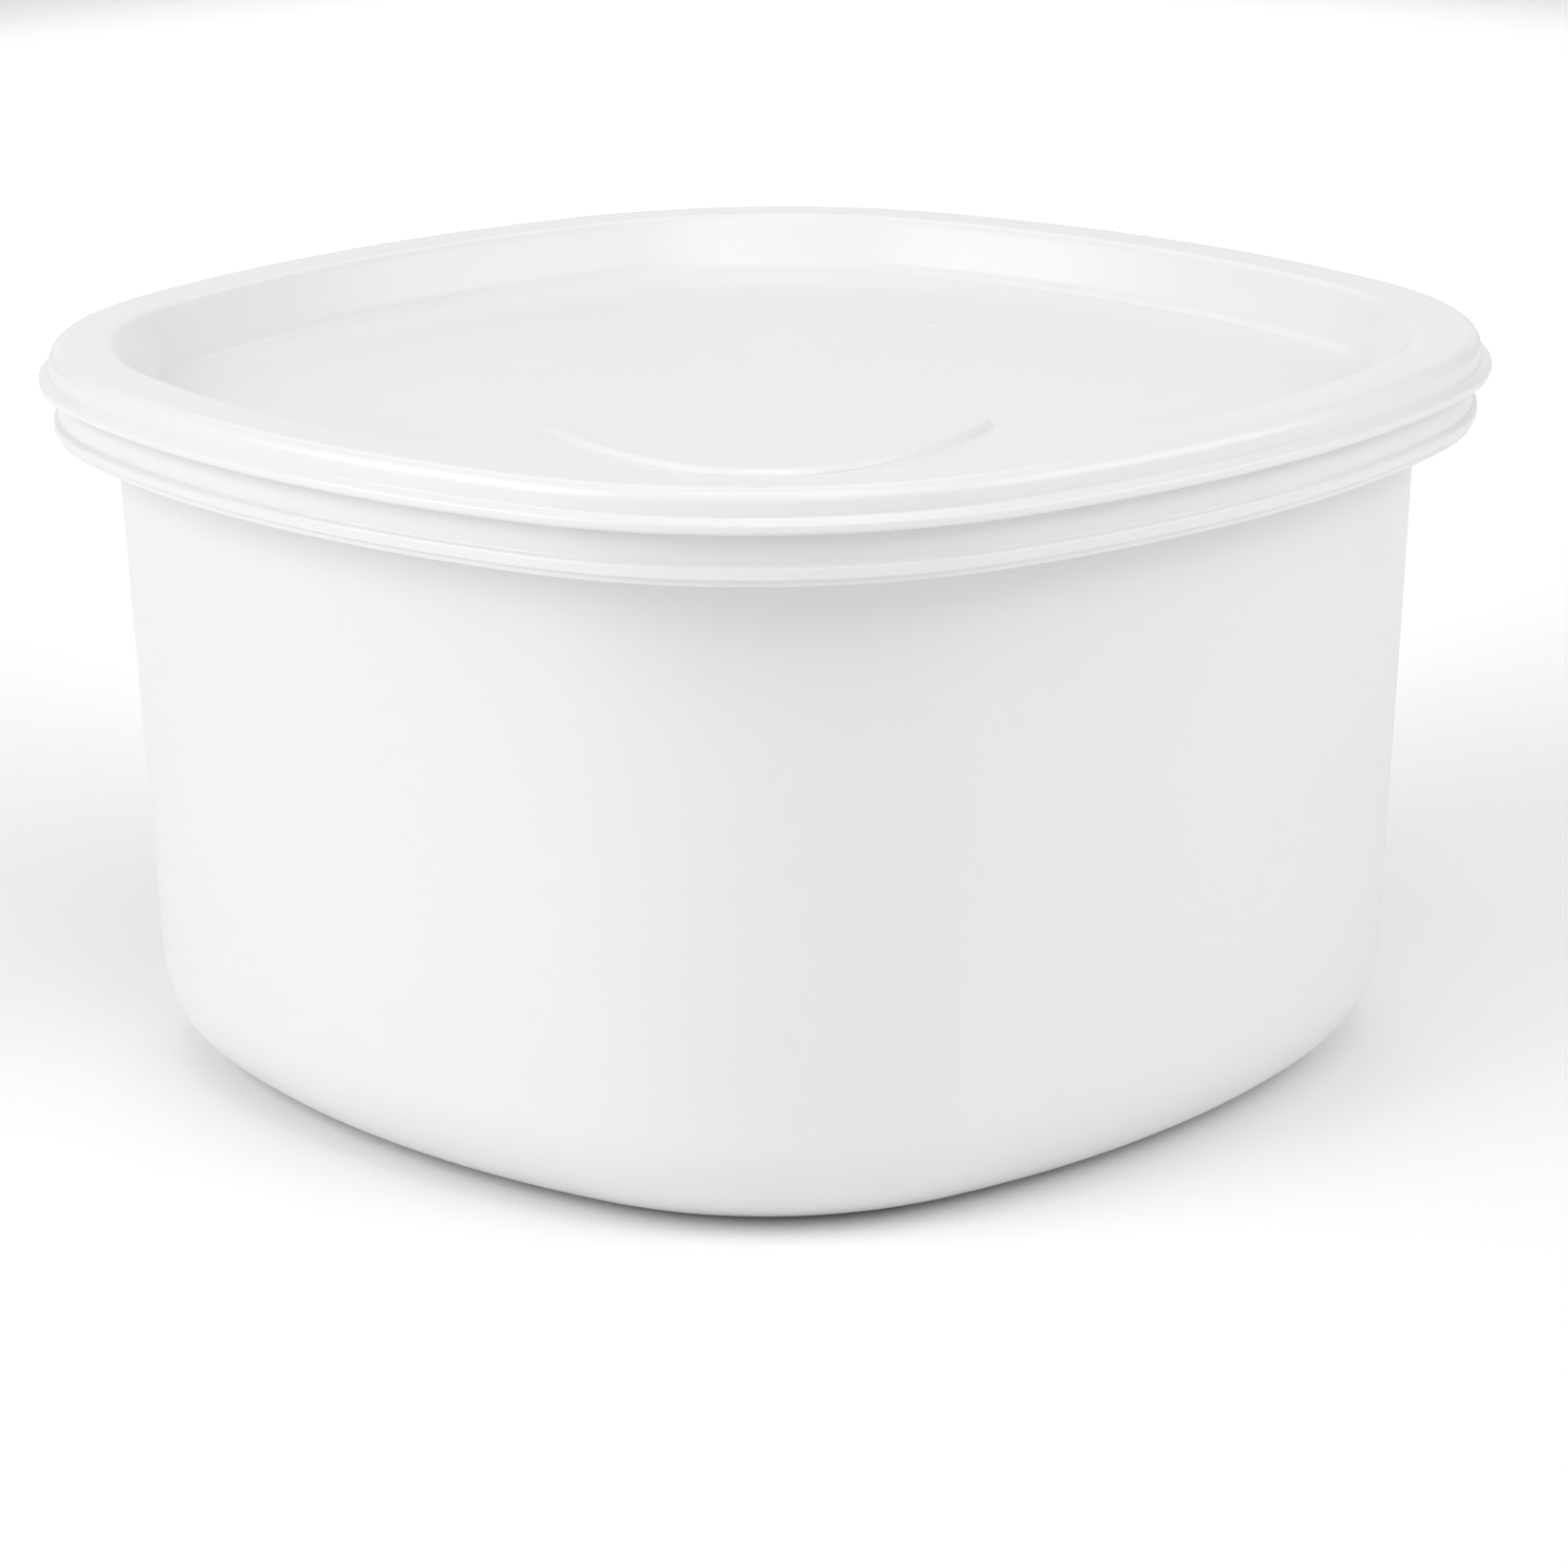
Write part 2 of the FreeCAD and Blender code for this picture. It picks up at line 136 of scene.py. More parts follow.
class LidSizes(bpy.types.PropertyGroup):
    tall: length("Lid height", "Lower edge of the lid to its top", 0.0055)
    lip_tall: length("Lip height", "Height of the lip at its outer edge", 0.0014)
    lip_root: length("Lip root", "Height of the lip where it leaves the side", 0.0019)
    lip_foot_round: length("Lip foot rounding", "Rounding of the lip's lower edge", 0.0006)
    lip_edge_round: length("Lip edge rounding", "Rounding of the lip's upper edge", 0.0005)
    lip_root_round: length("Lip root rounding", "Rounding between the lip and the side", 0.00035)
    skirt_round: length("Skirt rounding", "Rounding between the lip's underside and the skirt", 0.0002)
    side_draft: length("Side draft", "How far the lid's side leans out on its way down", 0.00025)
    wall: length("Lid wall", "Wall of the lid", 0.0018)
    skirt: length("Skirt", "Wall of the lid outside the seal channel", 0.0013)
    channel: length("Seal channel", "Width of the seal channel", 0.0028)
    rim_width: length("Rim width", "Flat rim round the recess", 0.0092)
    rim_round: length("Rim rounding", "Rounding of the rim's outer edge", 0.002)
    rim_inner_round: length("Rim inner rounding", "Rounding of the rim's inner edge", 0.0022)
    recess_depth: length("Recess depth", "Rim to the recessed panel", 0.0081)
    recess_slope: length("Recess slope", "How far the recess wall leans in", 0.0047)
    recess_round: length("Recess rounding", "Rounding between the recess wall and the panel", 0.003)


class RibSizes(bpy.types.PropertyGroup):
    tip: length("Tip", "Middle of the lid to the rib's tip, along the diagonal", 0.0596)
    tip_bend: length("Tip radius", "Radius of the rib's tip", 0.02)
    tip_turn: number("Tip turn", "Degrees the tip turns each way", 41.5)
    arm_bend: length("Arm radius", "Radius of the rib's arms", 0.0675)
    arm_turn: number("Arm turn", "Degrees each arm turns", 25.8)
    wide: length("Width", "Rib's width", 0.0022)
    tall: length("Height", "Rib's height above the panel", 0.0009)
    edge_round: length("Edge rounding", "Rounding along the rib's top", 0.0004)


class Finish(bpy.types.PropertyGroup):
    tub_white: colour("Tub", "White of the tub", (0.78, 0.78, 0.78))
    lid_white: colour("Lid", "White of the lid", (0.78, 0.777, 0.79))
    gloss: number("Roughness", "Roughness of the moulded surface", 0.3)
    drift: number("Drift", "How much the white drifts from place to place", 0.02)
    patches: number("Roughness change", "How much duller the duller patches are", 0.12)
    patch_size: number("Drifts in a metre", "How many drifts of the white a metre holds", 30.0)
    skin: number("Skin", "Strength of the uneven skin", 0.12)
    skin_depth: length("Skin depth", "Height of the uneven skin", 0.0002)


class Studio(bpy.types.PropertyGroup):
    lens: FloatProperty(name="Lens", description="Camera's focal length", default=112.76, unit="CAMERA")
    camera_turn: number("Camera turn", "Degrees from the -Y side towards the -X side", 45.2)
    camera_back: length("Camera distance", "Camera to the part's axis, along the ground", 0.70145)
    camera_up: length("Camera height", "Camera above the ground", 0.24757)
    camera_pitch: number("Camera pitch", "Degrees that the camera looks down", 16.62)
    camera_pan: number("Camera pan", "Degrees that the camera looks to the right of the axis", 0.17)
    camera_roll: number("Camera roll", "Degrees that the camera leans", -0.57)
    floor_half: length("Floor", "Half the floor's width", 4.0)


# ---------------------------------------------------------------- sections


def rounded(corners):
    """Rows of a section. Corners are (out, height, rounding, wall), each rounded by an arc on its sides."""
    rows = []
    for index, (out, height, radius, wall) in enumerate(corners):
        here = Vector((out, height))
        if radius == 0 or index in (0, len(corners) - 1):
            rows.append((out, height, wall))
            continue
        before = (Vector(corners[index - 1][:2]) - here).normalized()
        after = (Vector(corners[index + 1][:2]) - here).normalized()
        half_open = before.angle(after) / 2
        reach = radius / math.tan(half_open)
        room = min((Vector(corners[index + side][:2]) - here).length for side in (-1, 1))
        if reach > room:
            raise RuntimeError("a rounding of %.5f has no room at (%.5f, %.5f)" % (radius, out, height))
        centre = here + (before + after).normalized() * (radius / math.sin(half_open))
        start = here + before * reach - centre
        turn = (math.pi - 2 * half_open) * (1 if start.cross(here + after * reach - centre) > 0 else -1)
        points = max(2, math.ceil(abs(math.degrees(turn)) / DEGREES_PER_POINT))
        for step in range(points + 1):
            spot = centre + Matrix.Rotation(turn * step / points, 2) @ start
            rows.append((spot.x, spot.y, wall))
    return rows


def section_mesh(name, rows):
    """A section as a line of points: X is the way out from the outline, Z the height, Y the pull inwards."""
    first, last = rows[0], rows[-1]
    points = [(first[0], 1.0, first[1])] + [(out, 0.0, height) for out, height, wall in rows]
    points.append((last[0], 1.0, last[1]))
    walls = [first[2]] + [row[2] for row in rows] + [last[2]]
    mesh = bpy.data.meshes.new(name)
    mesh.from_pydata(points, [(i, i + 1) for i in range(len(points) - 1)], [])
    on_wall = mesh.attributes.new("on_wall", "FLOAT", "POINT")
    on_wall.data.foreach_set("value", walls)
    return mesh


def tub_section(tub, lid, outline):
    """The tub: foot, rounded base, leaning wall, flange with bead and band, neck, and rim inside the lid."""
    wall, rim = 1.0, 0.0
    flange_foot = tub.wall_height
    flange_top = flange_foot + tub.flange_tall
    lid_foot = LID_HIGH.z - lid.tall
    shoulder = lid_foot - CLEARANCE
    sole = -tub.base_round - tub.foot_width
    root = outline.wall_draft + tub.flange_root
    roof = flange_foot + tub.flange_groove
    bead = -tub.flange_inset
    band = bead - tub.band_inset
    edge = band - tub.flange_edge
    band_top = flange_foot + tub.band_tall
    ring_out = -tub.ring_inset
    ring_in = ring_out - tub.ring_thick
    mouth = -lid.rim_width + lid.wall + CLEARANCE
    mouth_floor = LID_LOW.z - CLEARANCE
    return rounded([
        (sole, tub.foot_tall, 0.0, wall),
        (sole, 0.0, tub.foot_round, wall),
        (0.0, 0.0, tub.base_round, wall),
        (outline.wall_draft, flange_foot, tub.root_round, wall),
        (root, flange_foot, 0.0, wall),
        (root, roof, 0.0, wall),
        (edge, roof, 0.0, rim),
        (edge, flange_foot, 0.0, rim),
        (band, flange_foot, tub.band_round, rim),
        (band, band_top, tub.band_fold, rim),
        (bead, band_top, tub.band_round, rim),
        (bead, flange_top, tub.bead_round, rim),
        (-tub.neck_inset, flange_top + tub.neck_rise, tub.neck_round, rim),
        (-tub.neck_inset - tub.neck_lean, shoulder, tub.neck_fold, rim),
        (ring_out, shoulder, 0.0, rim),
        (ring_out, TUB_TOP, 0.0, rim),
        (ring_in, TUB_TOP, 0.0, rim),
        (ring_in, shoulder, 0.0, rim),
        (mouth, shoulder, 0.0, rim),
        (mouth, mouth_floor, 0.0, rim),
    ])


def lid_section(lid):
    """The lid: plug, seal channel, lip, side, flat rim, leaning recess wall and panel."""
    rim = 0.0
    top = LID_HIGH.z
    foot = top - lid.tall
    roof = top - lid.wall
    plug = -lid.rim_width + lid.wall
    channel_out = -lid.skirt
    channel_in = channel_out - lid.channel
    panel = top - lid.recess_depth
    return rounded([
        (plug, LID_LOW.z, 0.0, rim),
        (plug, foot, 0.0, rim),
        (channel_in, foot, 0.0, rim),
        (channel_in, roof, 0.0, rim),
        (channel_out, roof, 0.0, rim),
        (channel_out, foot, lid.skirt_round, rim),
        (LIP_REACH, foot, lid.lip_foot_round, rim),
        (LIP_REACH, foot + lid.lip_tall, lid.lip_edge_round, rim),
        (lid.side_draft, foot + lid.lip_root, lid.lip_root_round, rim),
        (0.0, top, lid.rim_round, rim),
        (-lid.rim_width, top, lid.rim_inner_round, rim),
        (-lid.rim_width - lid.recess_slope, panel, lid.recess_round, rim),
        (-lid.rim_width - lid.recess_slope - lid.recess_round, panel, 0.0, rim),
    ])


# ---------------------------------------------------------------- geometry nodes


class NodeBuilder:
    """Adds nodes to a tree and links their sockets, so that a rule reads as one line for each step."""

    def __init__(self, tree):
        self.tree = tree

    def node(self, kind, inputs=(), **settings):
        made = self.tree.nodes.new(kind)
        for name, setting in settings.items():
            setattr(made, name, setting)
        for socket, source in dict(inputs).items():
            self.feed(made.inputs[socket], source)
        return made

    def feed(self, socket, source):
        if isinstance(source, bpy.types.NodeSocket):
            self.tree.links.new(source, socket)
        else:
            socket.default_value = source

    def maths(self, operation, *values):
        made = self.node("ShaderNodeMath", operation=operation)
        for socket, source in zip(made.inputs, values):
            self.feed(socket, source)
        return made.outputs[0]

    def whole(self, operation, *values):
        made = self.node("FunctionNodeIntegerMath", operation=operation)
        for socket, source in zip(made.inputs, values):
            self.feed(socket, source)
        return made.outputs[0]

    def mix(self, share, first, second):
        """first where share is 0, second where it is 1."""
        made = self.node("ShaderNodeMix", data_type="FLOAT", clamp_factor=False)
        for socket, source in zip((made.inputs[0], made.inputs[2], made.inputs[3]), (share, first, second)):
            self.feed(socket, source)
        return made.outputs[0]


def new_tree(name, inputs, outputs):
    """A geometry tree with named inputs and outputs, each a name and a socket type."""
    tree = bpy.data.node_groups.new(name, "GeometryNodeTree")
    for label, kind in inputs:
        tree.interface.new_socket(label, in_out="INPUT", socket_type=kind)
    for label, kind in outputs:
        tree.interface.new_socket(label, in_out="OUTPUT", socket_type=kind)
    return tree


def outline_tree():
    """Where an outline lies, seen from its nearest side: Angle is its normal's, from that side's middle.

    Side and corner are arcs that meet smoothly, so a step out or in only adds to the radius.
    """
    numbers = ["Half", "Bow", "Bend", "Angle", "Out"]
    tree = new_tree(
        "bowed_square_line",
        [(name, "NodeSocketFloat") for name in numbers],
        [("X", "NodeSocketFloat"), ("Y", "NodeSocketFloat")],
    )
    make = NodeBuilder(tree)
    half, bow, bend, angle, out = make.node("NodeGroupInput").outputs[:5]
    middle = make.maths("SUBTRACT", half, bow)
    across = make.maths("SUBTRACT", bow, bend)
    reach = make.maths("MULTIPLY", make.maths("MULTIPLY", across, across), 2.0)
    reach = make.maths("SQRT", make.maths("SUBTRACT", reach, make.maths("MULTIPLY", middle, middle)))
    corner = make.maths("MULTIPLY", make.maths("ADD", middle, reach), 0.5)
    meet = make.maths("ARCTAN2", corner, make.maths("SUBTRACT", corner, middle))
    on_corner = make.maths("GREATER_THAN", make.maths("ABSOLUTE", angle), meet)
    centre_x = make.mix(on_corner, middle, corner)
    centre_y = make.maths("MULTIPLY", on_corner, make.maths("MULTIPLY", make.maths("SIGN", angle), corner))
    radius = make.maths("ADD", make.mix(on_corner, bow, bend), out)
    x = make.maths("ADD", centre_x, make.maths("MULTIPLY", radius, make.maths("COSINE", angle)))
    y = make.maths("ADD", centre_y, make.maths("MULTIPLY", radius, make.maths("SINE", angle)))
    make.node("NodeGroupOutput", {"X": x, "Y": y})
    return tree


SHELL_NUMBERS = ("Rim Half", "Rim Bow", "Rim Bend", "Wall Half", "Wall Bow", "Wall Bend")


def shell_tree():
    """Sweeps the input's section round the two outlines, and closes it over the middle at both ends."""
    inputs = [("Geometry", "NodeSocketGeometry"), ("Around", "NodeSocketInt")]
    inputs += [(name, "NodeSocketFloat") for name in SHELL_NUMBERS]
    inputs += [("Material", "NodeSocketMaterial")]
    tree = new_tree("bowed_square_shell", inputs, [("Geometry", "NodeSocketGeometry")])
    line = outline_tree()
    make = NodeBuilder(tree)
    given = make.node("NodeGroupInput").outputs
    count = make.node(
        "GeometryNodeAttributeDomainSize", {"Geometry": given["Geometry"]}, component="MESH"
    ).outputs["Point Count"]
    columns = make.whole("ADD", given["Around"], 1)
    grid = make.node("GeometryNodeMeshGrid", {"Vertices X": columns, "Vertices Y": count}).outputs["Mesh"]
    index = make.node("GeometryNodeInputIndex").outputs[0]
    column = make.whole("DIVIDE_FLOOR", index, count)
    row = make.whole("MODULO", index, count)

    place = make.node("GeometryNodeInputPosition").outputs[0]
    section = make.node(
        "GeometryNodeSampleIndex",
        {"Geometry": given["Geometry"], "Value": place, "Index": row},
        data_type="FLOAT_VECTOR",
    ).outputs[0]
    spot = make.node("ShaderNodeSeparateXYZ", {"Vector": section}).outputs
    flag = make.node("GeometryNodeInputNamedAttribute", {"Name": "on_wall"}, data_type="FLOAT").outputs[0]
    on_wall = make.node(
        "GeometryNodeSampleIndex",
        {"Geometry": given["Geometry"], "Value": flag, "Index": row},
        data_type="FLOAT",
    ).outputs[0]

    turns = make.maths("DIVIDE", make.maths("MULTIPLY", column, 4.0), given["Around"])
    side = make.maths("ROUND", turns)
    angle = make.maths("MULTIPLY", make.maths("SUBTRACT", turns, side), QUARTER)
    lines = []
    for family in ("Rim", "Wall"):
        numbers = {name: given[family + " " + name] for name in ("Half", "Bow", "Bend")}
        numbers.update({"Angle": angle, "Out": spot["X"]})
        lines.append(make.node("GeometryNodeGroup", node_tree=line))
        for socket, source in numbers.items():
            make.feed(lines[-1].inputs[socket], source)
    kept = make.maths("SUBTRACT", 1.0, spot["Y"])
    flat = [
        make.maths("MULTIPLY", kept, make.mix(on_wall, lines[0].outputs[axis], lines[1].outputs[axis]))
        for axis in ("X", "Y")
    ]
    point = make.node("ShaderNodeCombineXYZ", {"X": flat[0], "Y": flat[1], "Z": spot["Z"]}).outputs[0]
    turned = make.node(
        "ShaderNodeVectorRotate",
        {"Vector": point, "Angle": make.maths("MULTIPLY", side, QUARTER)},
        rotation_type="Z_AXIS",
    ).outputs[0]
    swept = make.node("GeometryNodeSetPosition", {"Geometry": grid, "Position": turned}).outputs[0]
    closed = make.node("GeometryNodeMergeByDistance", {"Geometry": swept, "Distance": SAME_POINT}).outputs[0]
    smooth = make.node("GeometryNodeSetShadeSmooth", {"Geometry": closed}).outputs[0]
    real = make.node("GeometryNodeRealizeInstances", {"Geometry": smooth}).outputs[0]
    made = make.node("GeometryNodeSetMaterial", {"Geometry": real, "Material": given["Material"]}).outputs[0]
    make.node("NodeGroupOutput", {"Geometry": made})
    return tree


def set_inputs(modifier, values):
    """Sets a modifier's inputs by name, through the identifiers that it stores them under."""
    sockets = {item.name: item.identifier for item in modifier.node_group.interface.items_tree}
    for name, given in values.items():
        modifier[sockets[name]] = given


def plain_mesh(thing, name):
    """What an object's modifiers make, as a mesh of its own. The modifiers are removed."""
    bpy.context.view_layer.update()
    made = bpy.data.meshes.new_from_object(thing.evaluated_get(bpy.context.evaluated_depsgraph_get()))
    thing.modifiers.clear()
    old = thing.data
    thing.data = made
    bpy.data.meshes.remove(old)
    made.name = name
    return made


def new_piece(name, mesh):
    thing = bpy.data.objects.new(name, mesh)
    bpy.context.scene.collection.objects.link(thing)
    return thing


def sweep(name, rows, outline, material):
    """A section swept round the outlines by Geometry Nodes, as a plain closed mesh."""
    thing = new_piece(name, section_mesh(name, rows))
    modifier = thing.modifiers.new("shell", "NODES")
    modifier.node_group = bpy.data.node_groups.get("bowed_square_shell") or shell_tree()
    wall_half = outline.rim_half - outline.flange_reach - outline.wall_draft
    rim = (outline.rim_half, outline.rim_bow, outline.rim_bend)
    wall = (wall_half, outline.wall_bow, outline.wall_bend)
    values = dict(zip(SHELL_NUMBERS, rim + wall))
    values.update({"Around": outline.around, "Material": material})
    set_inputs(modifier, values)
    plain_mesh(thing, name)
    return thing


def hand_over(thing, node):
    """A finished piece takes a CAD node's place and rides on its body."""
    thing.data.set_sharp_from_angle(angle=SMOOTH_UP_TO)
    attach(thing, BODY)
    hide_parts(node)


# ---------------------------------------------------------------- rib


def rib_line(rib, panel):
    """The rib's middle line as (place, direction) stations: an arm, the tip and the other arm, all arcs."""
    tip_turn, arm_turn = math.radians(rib.tip_turn), math.radians(rib.arm_turn)
    stretches = [(rib.arm_bend, arm_turn), (rib.tip_bend, 2 * tip_turn), (rib.arm_bend, arm_turn)]
    spot = Vector((0.0, 0.0))
    heading = -tip_turn - arm_turn
    stations = [(spot.copy(), heading)]
    for radius, turn in stretches:
        steps = max(2, round(radius * turn / RIB_STEP))
        for _ in range(steps):
            chord = 2 * radius * math.sin(turn / steps / 2)
            heading += turn / steps / 2
            spot = spot + Vector((math.cos(heading), math.sin(heading))) * chord
            heading += turn / steps / 2
            stations.append((spot.copy(), heading))
    tip = stations[len(stations) // 2][0]
    shift = Vector((0.0, -rib.tip)) - tip
    spin = Matrix.Rotation(-math.pi / 4, 2)
    placed = []
    for spot, heading in stations:
        flat = spin @ (spot + shift)
        placed.append((Vector((flat.x, flat.y, panel)), heading - math.pi / 4))
    return placed


def rib_mesh(rib, panel):
    """The finger rib: a low rounded ridge whose foot sinks a little into the panel."""
    half, tall = rib.wide / 2, rib.tall
    side = rounded([
        (-half, -RIB_SUNK, 0.0, 0.0),
        (-half, tall * RIB_FOOT, 0.0, 0.0),
        (-half * RIB_CREST, tall, rib.edge_round, 0.0),
        (0.0, tall, 0.0, 0.0),
    ])
    section = [(out, height) for out, height, _ in side]
    section += [(-out, height) for out, height in reversed(section[:-1])]
    stations = rib_line(rib, panel)
    ends = half * RIB_END
    made = bmesh.new()
    rings = []
    run = 0.0
    total = sum((b[0] - a[0]).length for a, b in zip(stations, stations[1:]))
    previous = stations[0][0]
    for spot, heading in stations:
        run += (spot - previous).length
        previous = spot
        near_end = min(run, total - run)
        share = 1.0 if near_end > ends else math.sqrt(max(0.0, 1 - (1 - near_end / ends) ** 2))
        share = max(share, RIB_LEAST)
        across = Vector((-math.sin(heading), math.cos(heading), 0.0))
        rings.append([
            made.verts.new(spot - across * (out * share) + Vector((0, 0, height * share)))
            for out, height in section
        ])
    for first, second in zip(rings, rings[1:]):
        for i in range(len(section)):
            j = (i + 1) % len(section)
            made.faces.new((first[i], first[j], second[j], second[i]))
    made.faces.new(rings[0])
    made.faces.new(reversed(rings[-1]))
    bmesh.ops.recalc_face_normals(made, faces=made.faces)
    for face in made.faces:
        face.smooth = True
    mesh = bpy.data.meshes.new("finger_rib")
    made.to_mesh(mesh)
    made.free()
    return mesh


def add_rib(thing, rib, panel, material):
    """Joins the rib to the lid as one closed surface."""
    ridge = new_piece("finger_rib", rib_mesh(rib, panel))
    ridge.data.materials.append(material)
    union = thing.modifiers.new("rib", "BOOLEAN")
    union.operation = "UNION"
    union.solver = "EXACT"
    union.object = ridge
    plain_mesh(thing, thing.name)
    bpy.data.objects.remove(ridge)


# ---------------------------------------------------------------- plastic


# Bumps of the fine skin in a metre, and their height as a share of the broad drift's.
FINE_GRAIN = 900.0
FINE_SHARE = 0.02
POLYPROPYLENE_IOR = 1.49


def surface_group():
    """Moulded plastic: a faint drift of the white, patches a little duller, and a fine uneven skin."""
    group = bpy.data.node_groups.new("moulded_skin", "ShaderNodeTree")
    inputs = [("White", "NodeSocketColor"), ("Drift", "NodeSocketFloat"), ("Roughness", "NodeSocketFloat")]
    inputs += [("Roughness Change", "NodeSocketFloat"), ("Size", "NodeSocketFloat")]
    for name, kind in inputs:
        group.interface.new_socket(name, in_out="INPUT", socket_type=kind)
    outputs = [("Colour", "NodeSocketColor"), ("Roughness", "NodeSocketFloat"), ("Skin", "NodeSocketFloat")]
    for name, kind in outputs:
        group.interface.new_socket(name, in_out="OUTPUT", socket_type=kind)
    make = NodeBuilder(group)
    given = make.node("NodeGroupInput").outputs
    where = make.node("ShaderNodeTexCoord").outputs["Object"]
    smaller = make.maths("MULTIPLY", given["Size"], 4.0)
    flow, fine, patch = (
        make.node("ShaderNodeTexNoise", {"Vector": where, "Scale": size, "Detail": detail}).outputs[0]
        for size, detail in ((given["Size"], 3.0), (FINE_GRAIN, 2.0), (smaller, 4.0))
    )
    lighter = make.maths("MULTIPLY", make.maths("SUBTRACT", flow, 0.5), given["Drift"])
    shade = make.maths("ADD", 1.0, lighter)
    tinted = make.node("ShaderNodeVectorMath", operation="SCALE")
    make.feed(tinted.inputs[0], given["White"])
    make.feed(tinted.inputs["Scale"], shade)
    uneven = make.maths("ADD", make.maths("MULTIPLY", patch, 0.7), make.maths("MULTIPLY", fine, 0.3))
    duller = make.maths("MULTIPLY", make.maths("SUBTRACT", uneven, 0.5), given["Roughness Change"])
    roughness = make.maths("ADD", given["Roughness"], duller)
    skin = make.maths("ADD", flow, make.maths("MULTIPLY", fine, FINE_SHARE))
    make.node("NodeGroupOutput", {"Colour": tinted.outputs[0], "Roughness": roughness, "Skin": skin})
    return group


def plastic(name, white, finish):
    """Opaque white polypropylene with a satin gloss."""
    material = bpy.data.materials.new(name)
    material.use_nodes = True
    tree = material.node_tree
    tree.nodes.clear()
    make = NodeBuilder(tree)
    group = bpy.data.node_groups.get("moulded_skin") or surface_group()
    skin = make.node("ShaderNodeGroup", node_tree=group)
    values = {"White": (*white, 1.0), "Drift": finish.drift, "Roughness": finish.gloss}
    values.update({"Roughness Change": finish.patches, "Size": finish.patch_size})
    for socket, given in values.items():
        skin.inputs[socket].default_value = given
    raised = {"Height": skin.outputs["Skin"], "Strength": finish.skin, "Distance": finish.skin_depth}
    bump = make.node("ShaderNodeBump", raised)
    shader = make.node(
        "ShaderNodeBsdfPrincipled",
        {
            "Base Color": skin.outputs["Colour"],
            "Roughness": skin.outputs["Roughness"],
            "Normal": bump.outputs[0],
            "IOR": POLYPROPYLENE_IOR,
        },
    )
    make.node("ShaderNodeOutputMaterial", {"Surface": shader.outputs[0]})
    return material


# ---------------------------------------------------------------- pieces


class CONTAINER_OT_tub(bpy.types.Operator):
    """Makes the tub, with its foot, rounded base, flange and neck"""

    bl_idname = "container.tub"
    bl_label = "Tub"

    def execute(self, context):
        scene = context.scene
        outline = scene.container_outline
        finish = scene.container_finish
        material = plastic("tub_plastic", finish.tub_white, finish)
        rows = tub_section(scene.container_tub, scene.container_lid, outline)
        thing = sweep("tub_shell", rows, outline, material)
        hand_over(thing, "tub")
        return {"FINISHED"}


class CONTAINER_OT_lid(bpy.types.Operator):
    """Makes the press-on lid, with its lip, recess and finger rib"""

    bl_idname = "container.lid"
    bl_label = "Lid"

    def execute(self, context):
        scene = context.scene
        lid = scene.container_lid
        finish = scene.container_finish
        material = plastic("lid_plastic", finish.lid_white, finish)
        thing = sweep("lid_shell", lid_section(lid), scene.container_outline, material)
        add_rib(thing, scene.container_rib, LID_HIGH.z - lid.recess_depth, material)
        hand_over(thing, "lid")
        return {"FINISHED"}


# ---------------------------------------------------------------- stage


def look_from(studio):
    """The camera's place and turn: it stands off one corner and looks down on the part."""
    pan, pitch, roll = (math.radians(v) for v in (studio.camera_pan, studio.camera_pitch, studio.camera_roll))
    forward = Vector((math.sin(pan) * math.cos(pitch), math.cos(pan) * math.cos(pitch), -math.sin(pitch)))
    right = Vector((math.cos(pan), -math.sin(pan), 0.0))
    up = right.cross(forward)
    leaned_right = right * math.cos(roll) + up * math.sin(roll)
    leaned_up = up * math.cos(roll) - right * math.sin(roll)
    basis = Matrix((leaned_right, leaned_up, -forward)).transposed().to_4x4()
    spin = Matrix.Rotation(-math.radians(studio.camera_turn), 4, "Z")
    return spin @ Matrix.Translation((0.0, -studio.camera_back, studio.camera_up)) @ basis


def add_camera(studio):
    camera = bpy.data.objects.new("camera", bpy.data.cameras.new("camera"))
    camera.data.lens = studio.lens
    camera.data.sensor_width = 36.0
    camera.data.clip_start = 0.01
    camera.data.clip_end = 50.0
    camera.matrix_world = look_from(studio)
    bpy.context.scene.collection.objects.link(camera)
    bpy.context.scene.camera = camera


FLOOR_WHITE = (0.93, 0.928, 0.938, 1.0)
FLOOR_ROUGHNESS = 0.6


def pale_floor():
    """A plain matt floor, the same white all over."""
    material = bpy.data.materials.new("pale_floor")
    material.use_nodes = True
    tree = material.node_tree
    tree.nodes.clear()
    make = NodeBuilder(tree)
    shader = make.node("ShaderNodeBsdfPrincipled", {"Base Color": FLOOR_WHITE, "Roughness": FLOOR_ROUGHNESS})
    make.node("ShaderNodeOutputMaterial", {"Surface": shader.outputs[0]})
    return material


def add_floor(studio):
    made = bmesh.new()
    bmesh.ops.create_grid(made, x_segments=2, y_segments=2, size=studio.floor_half)
    mesh = bpy.data.meshes.new("floor")
    made.to_mesh(mesh)
    made.free()
    floor = new_piece("floor", mesh)
    floor.data.materials.append(pale_floor())


PLAIN_WHITE = (1.0, 1.0, 1.0)
FAINT_VIOLET = (0.99, 0.98, 1.0)
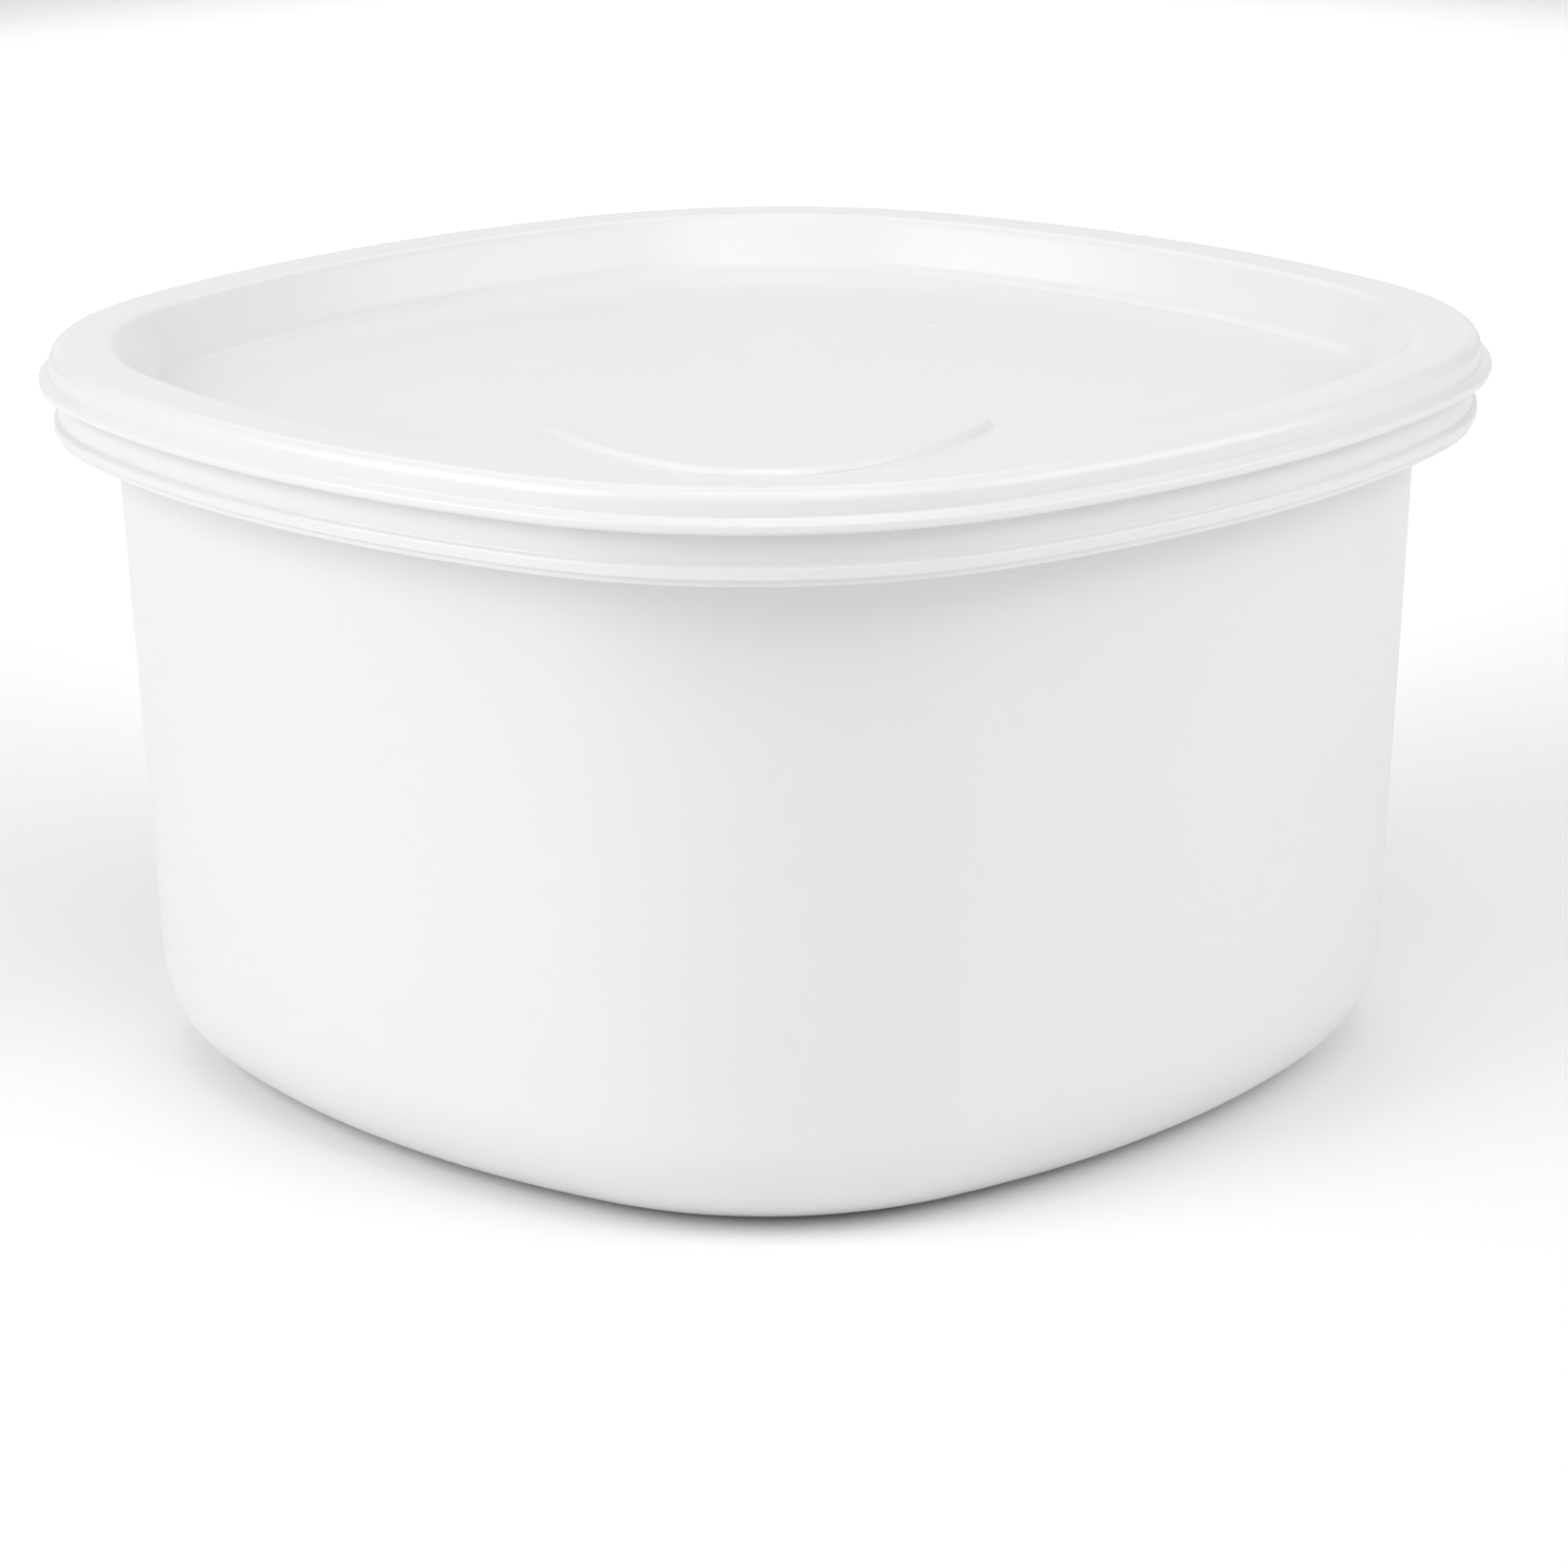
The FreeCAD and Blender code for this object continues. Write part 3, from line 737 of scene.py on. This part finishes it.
# name, degrees to the right of the camera, elevation, distance, width, height, watts and colour
LIGHTS = [
    ("left_softbox", -67.0, 30.0, 1.4, 1.1, 0.9, 11.0, PLAIN_WHITE),
    ("right_softbox", 78.0, 30.0, 1.4, 1.1, 0.8, 6.95, PLAIN_WHITE),
    ("front_softbox", 5.0, 25.0, 1.4, 0.7, 0.7, 0.7, PLAIN_WHITE),
    ("upper_softbox", 30.0, 48.0, 1.4, 0.7, 0.7, 2.65, PLAIN_WHITE),
    ("top_softbox", 0.0, 72.0, 1.4, 0.8, 0.7, 3.65, (0.96, 0.94, 1.0)),
    ("back_softbox", -170.0, 45.0, 1.4, 1.0, 0.7, 2.35, FAINT_VIOLET),
    ("rear_softbox", 180.0, 10.0, 1.8, 2.0, 0.5, 1.95, FAINT_VIOLET),
]
# The lamp over the floor behind the part: distance behind it, height, side, watts and spread in degrees.
FAR_LAMP = (0.78, 1.2, 0.9, 1.0, 12.0)
AIM_HEIGHT = 0.05
WORLD_STRENGTH = 0.35


def add_lamp(name, place, aim, width, height, watts, tint, spread=180.0):
    lamp = bpy.data.lights.new(name, "AREA")
    lamp.shape = "RECTANGLE"
    lamp.size = width
    lamp.size_y = height
    lamp.energy = watts
    lamp.spread = math.radians(spread)
    lamp.color = tint
    thing = bpy.data.objects.new(name, lamp)
    thing.location = place
    thing.rotation_euler = (place - aim).to_track_quat("Z", "Y").to_euler()
    thing.visible_camera = False
    bpy.context.scene.collection.objects.link(thing)


def add_lights(studio):
    aim = Vector((0.0, 0.0, AIM_HEIGHT))
    for name, right, elevation, distance, width, height, watts, tint in LIGHTS:
        turn, rise = math.radians(studio.camera_turn - right), math.radians(elevation)
        way = Vector((-math.sin(turn) * math.cos(rise), -math.cos(turn) * math.cos(rise), math.sin(rise)))
        add_lamp(name, aim + way * distance, aim, width, height, watts, tint)
    behind, tall, side, watts, spread = FAR_LAMP
    turn = math.radians(studio.camera_turn)
    spot = Vector((math.sin(turn) * behind, math.cos(turn) * behind, 0.0))
    above = spot + Vector((0.0, 0.0, tall))
    add_lamp("far_softbox", above, spot, side, side, watts, PLAIN_WHITE, spread)


def add_world():
    world = bpy.data.worlds.new("studio")
    world.use_nodes = True
    background = world.node_tree.nodes["Background"]
    background.inputs["Color"].default_value = (1.0, 1.0, 1.0, 1.0)
    background.inputs["Strength"].default_value = WORLD_STRENGTH
    bpy.context.scene.world = world


class CONTAINER_OT_stage(bpy.types.Operator):
    """Makes the camera, the pale floor and the soft light"""

    bl_idname = "container.stage"
    bl_label = "Studio"

    def execute(self, context):
        studio = context.scene.container_studio
        add_camera(studio)
        add_floor(studio)
        add_lights(studio)
        add_world()
        context.scene.view_settings.view_transform = "Standard"
        return {"FINISHED"}


# ---------------------------------------------------------------- add-on


class CONTAINER_PT_parts(bpy.types.Panel):
    """The container's pieces and its studio"""

    bl_idname = "CONTAINER_PT_parts"
    bl_label = "Freezer container"
    bl_space_type = "VIEW_3D"
    bl_region_type = "UI"
    bl_category = "Container"

    def draw(self, context):
        for step in STEPS:
            self.layout.operator(step.bl_idname)
        for name in GROUPS:
            sizes = getattr(context.scene, name)
            box = self.layout.box()
            for key in sizes.bl_rna.properties.keys():
                if key not in ("rna_type", "name"):
                    box.prop(sizes, key)


STEPS = (CONTAINER_OT_tub, CONTAINER_OT_lid, CONTAINER_OT_stage)
GROUPS = {
    "container_outline": OutlineSizes,
    "container_tub": TubSizes,
    "container_lid": LidSizes,
    "container_rib": RibSizes,
    "container_finish": Finish,
    "container_studio": Studio,
}


def register():
    for made in (*GROUPS.values(), *STEPS, CONTAINER_PT_parts):
        bpy.utils.register_class(made)
    for name, group in GROUPS.items():
        setattr(bpy.types.Scene, name, PointerProperty(type=group))


def unregister():
    for name in GROUPS:
        delattr(bpy.types.Scene, name)
    for made in reversed((*GROUPS.values(), *STEPS, CONTAINER_PT_parts)):
        bpy.utils.unregister_class(made)


def main():
    register()
    bpy.ops.container.tub()
    bpy.ops.container.lid()
    bpy.ops.container.stage()


if __name__ == "__main__":
    main()
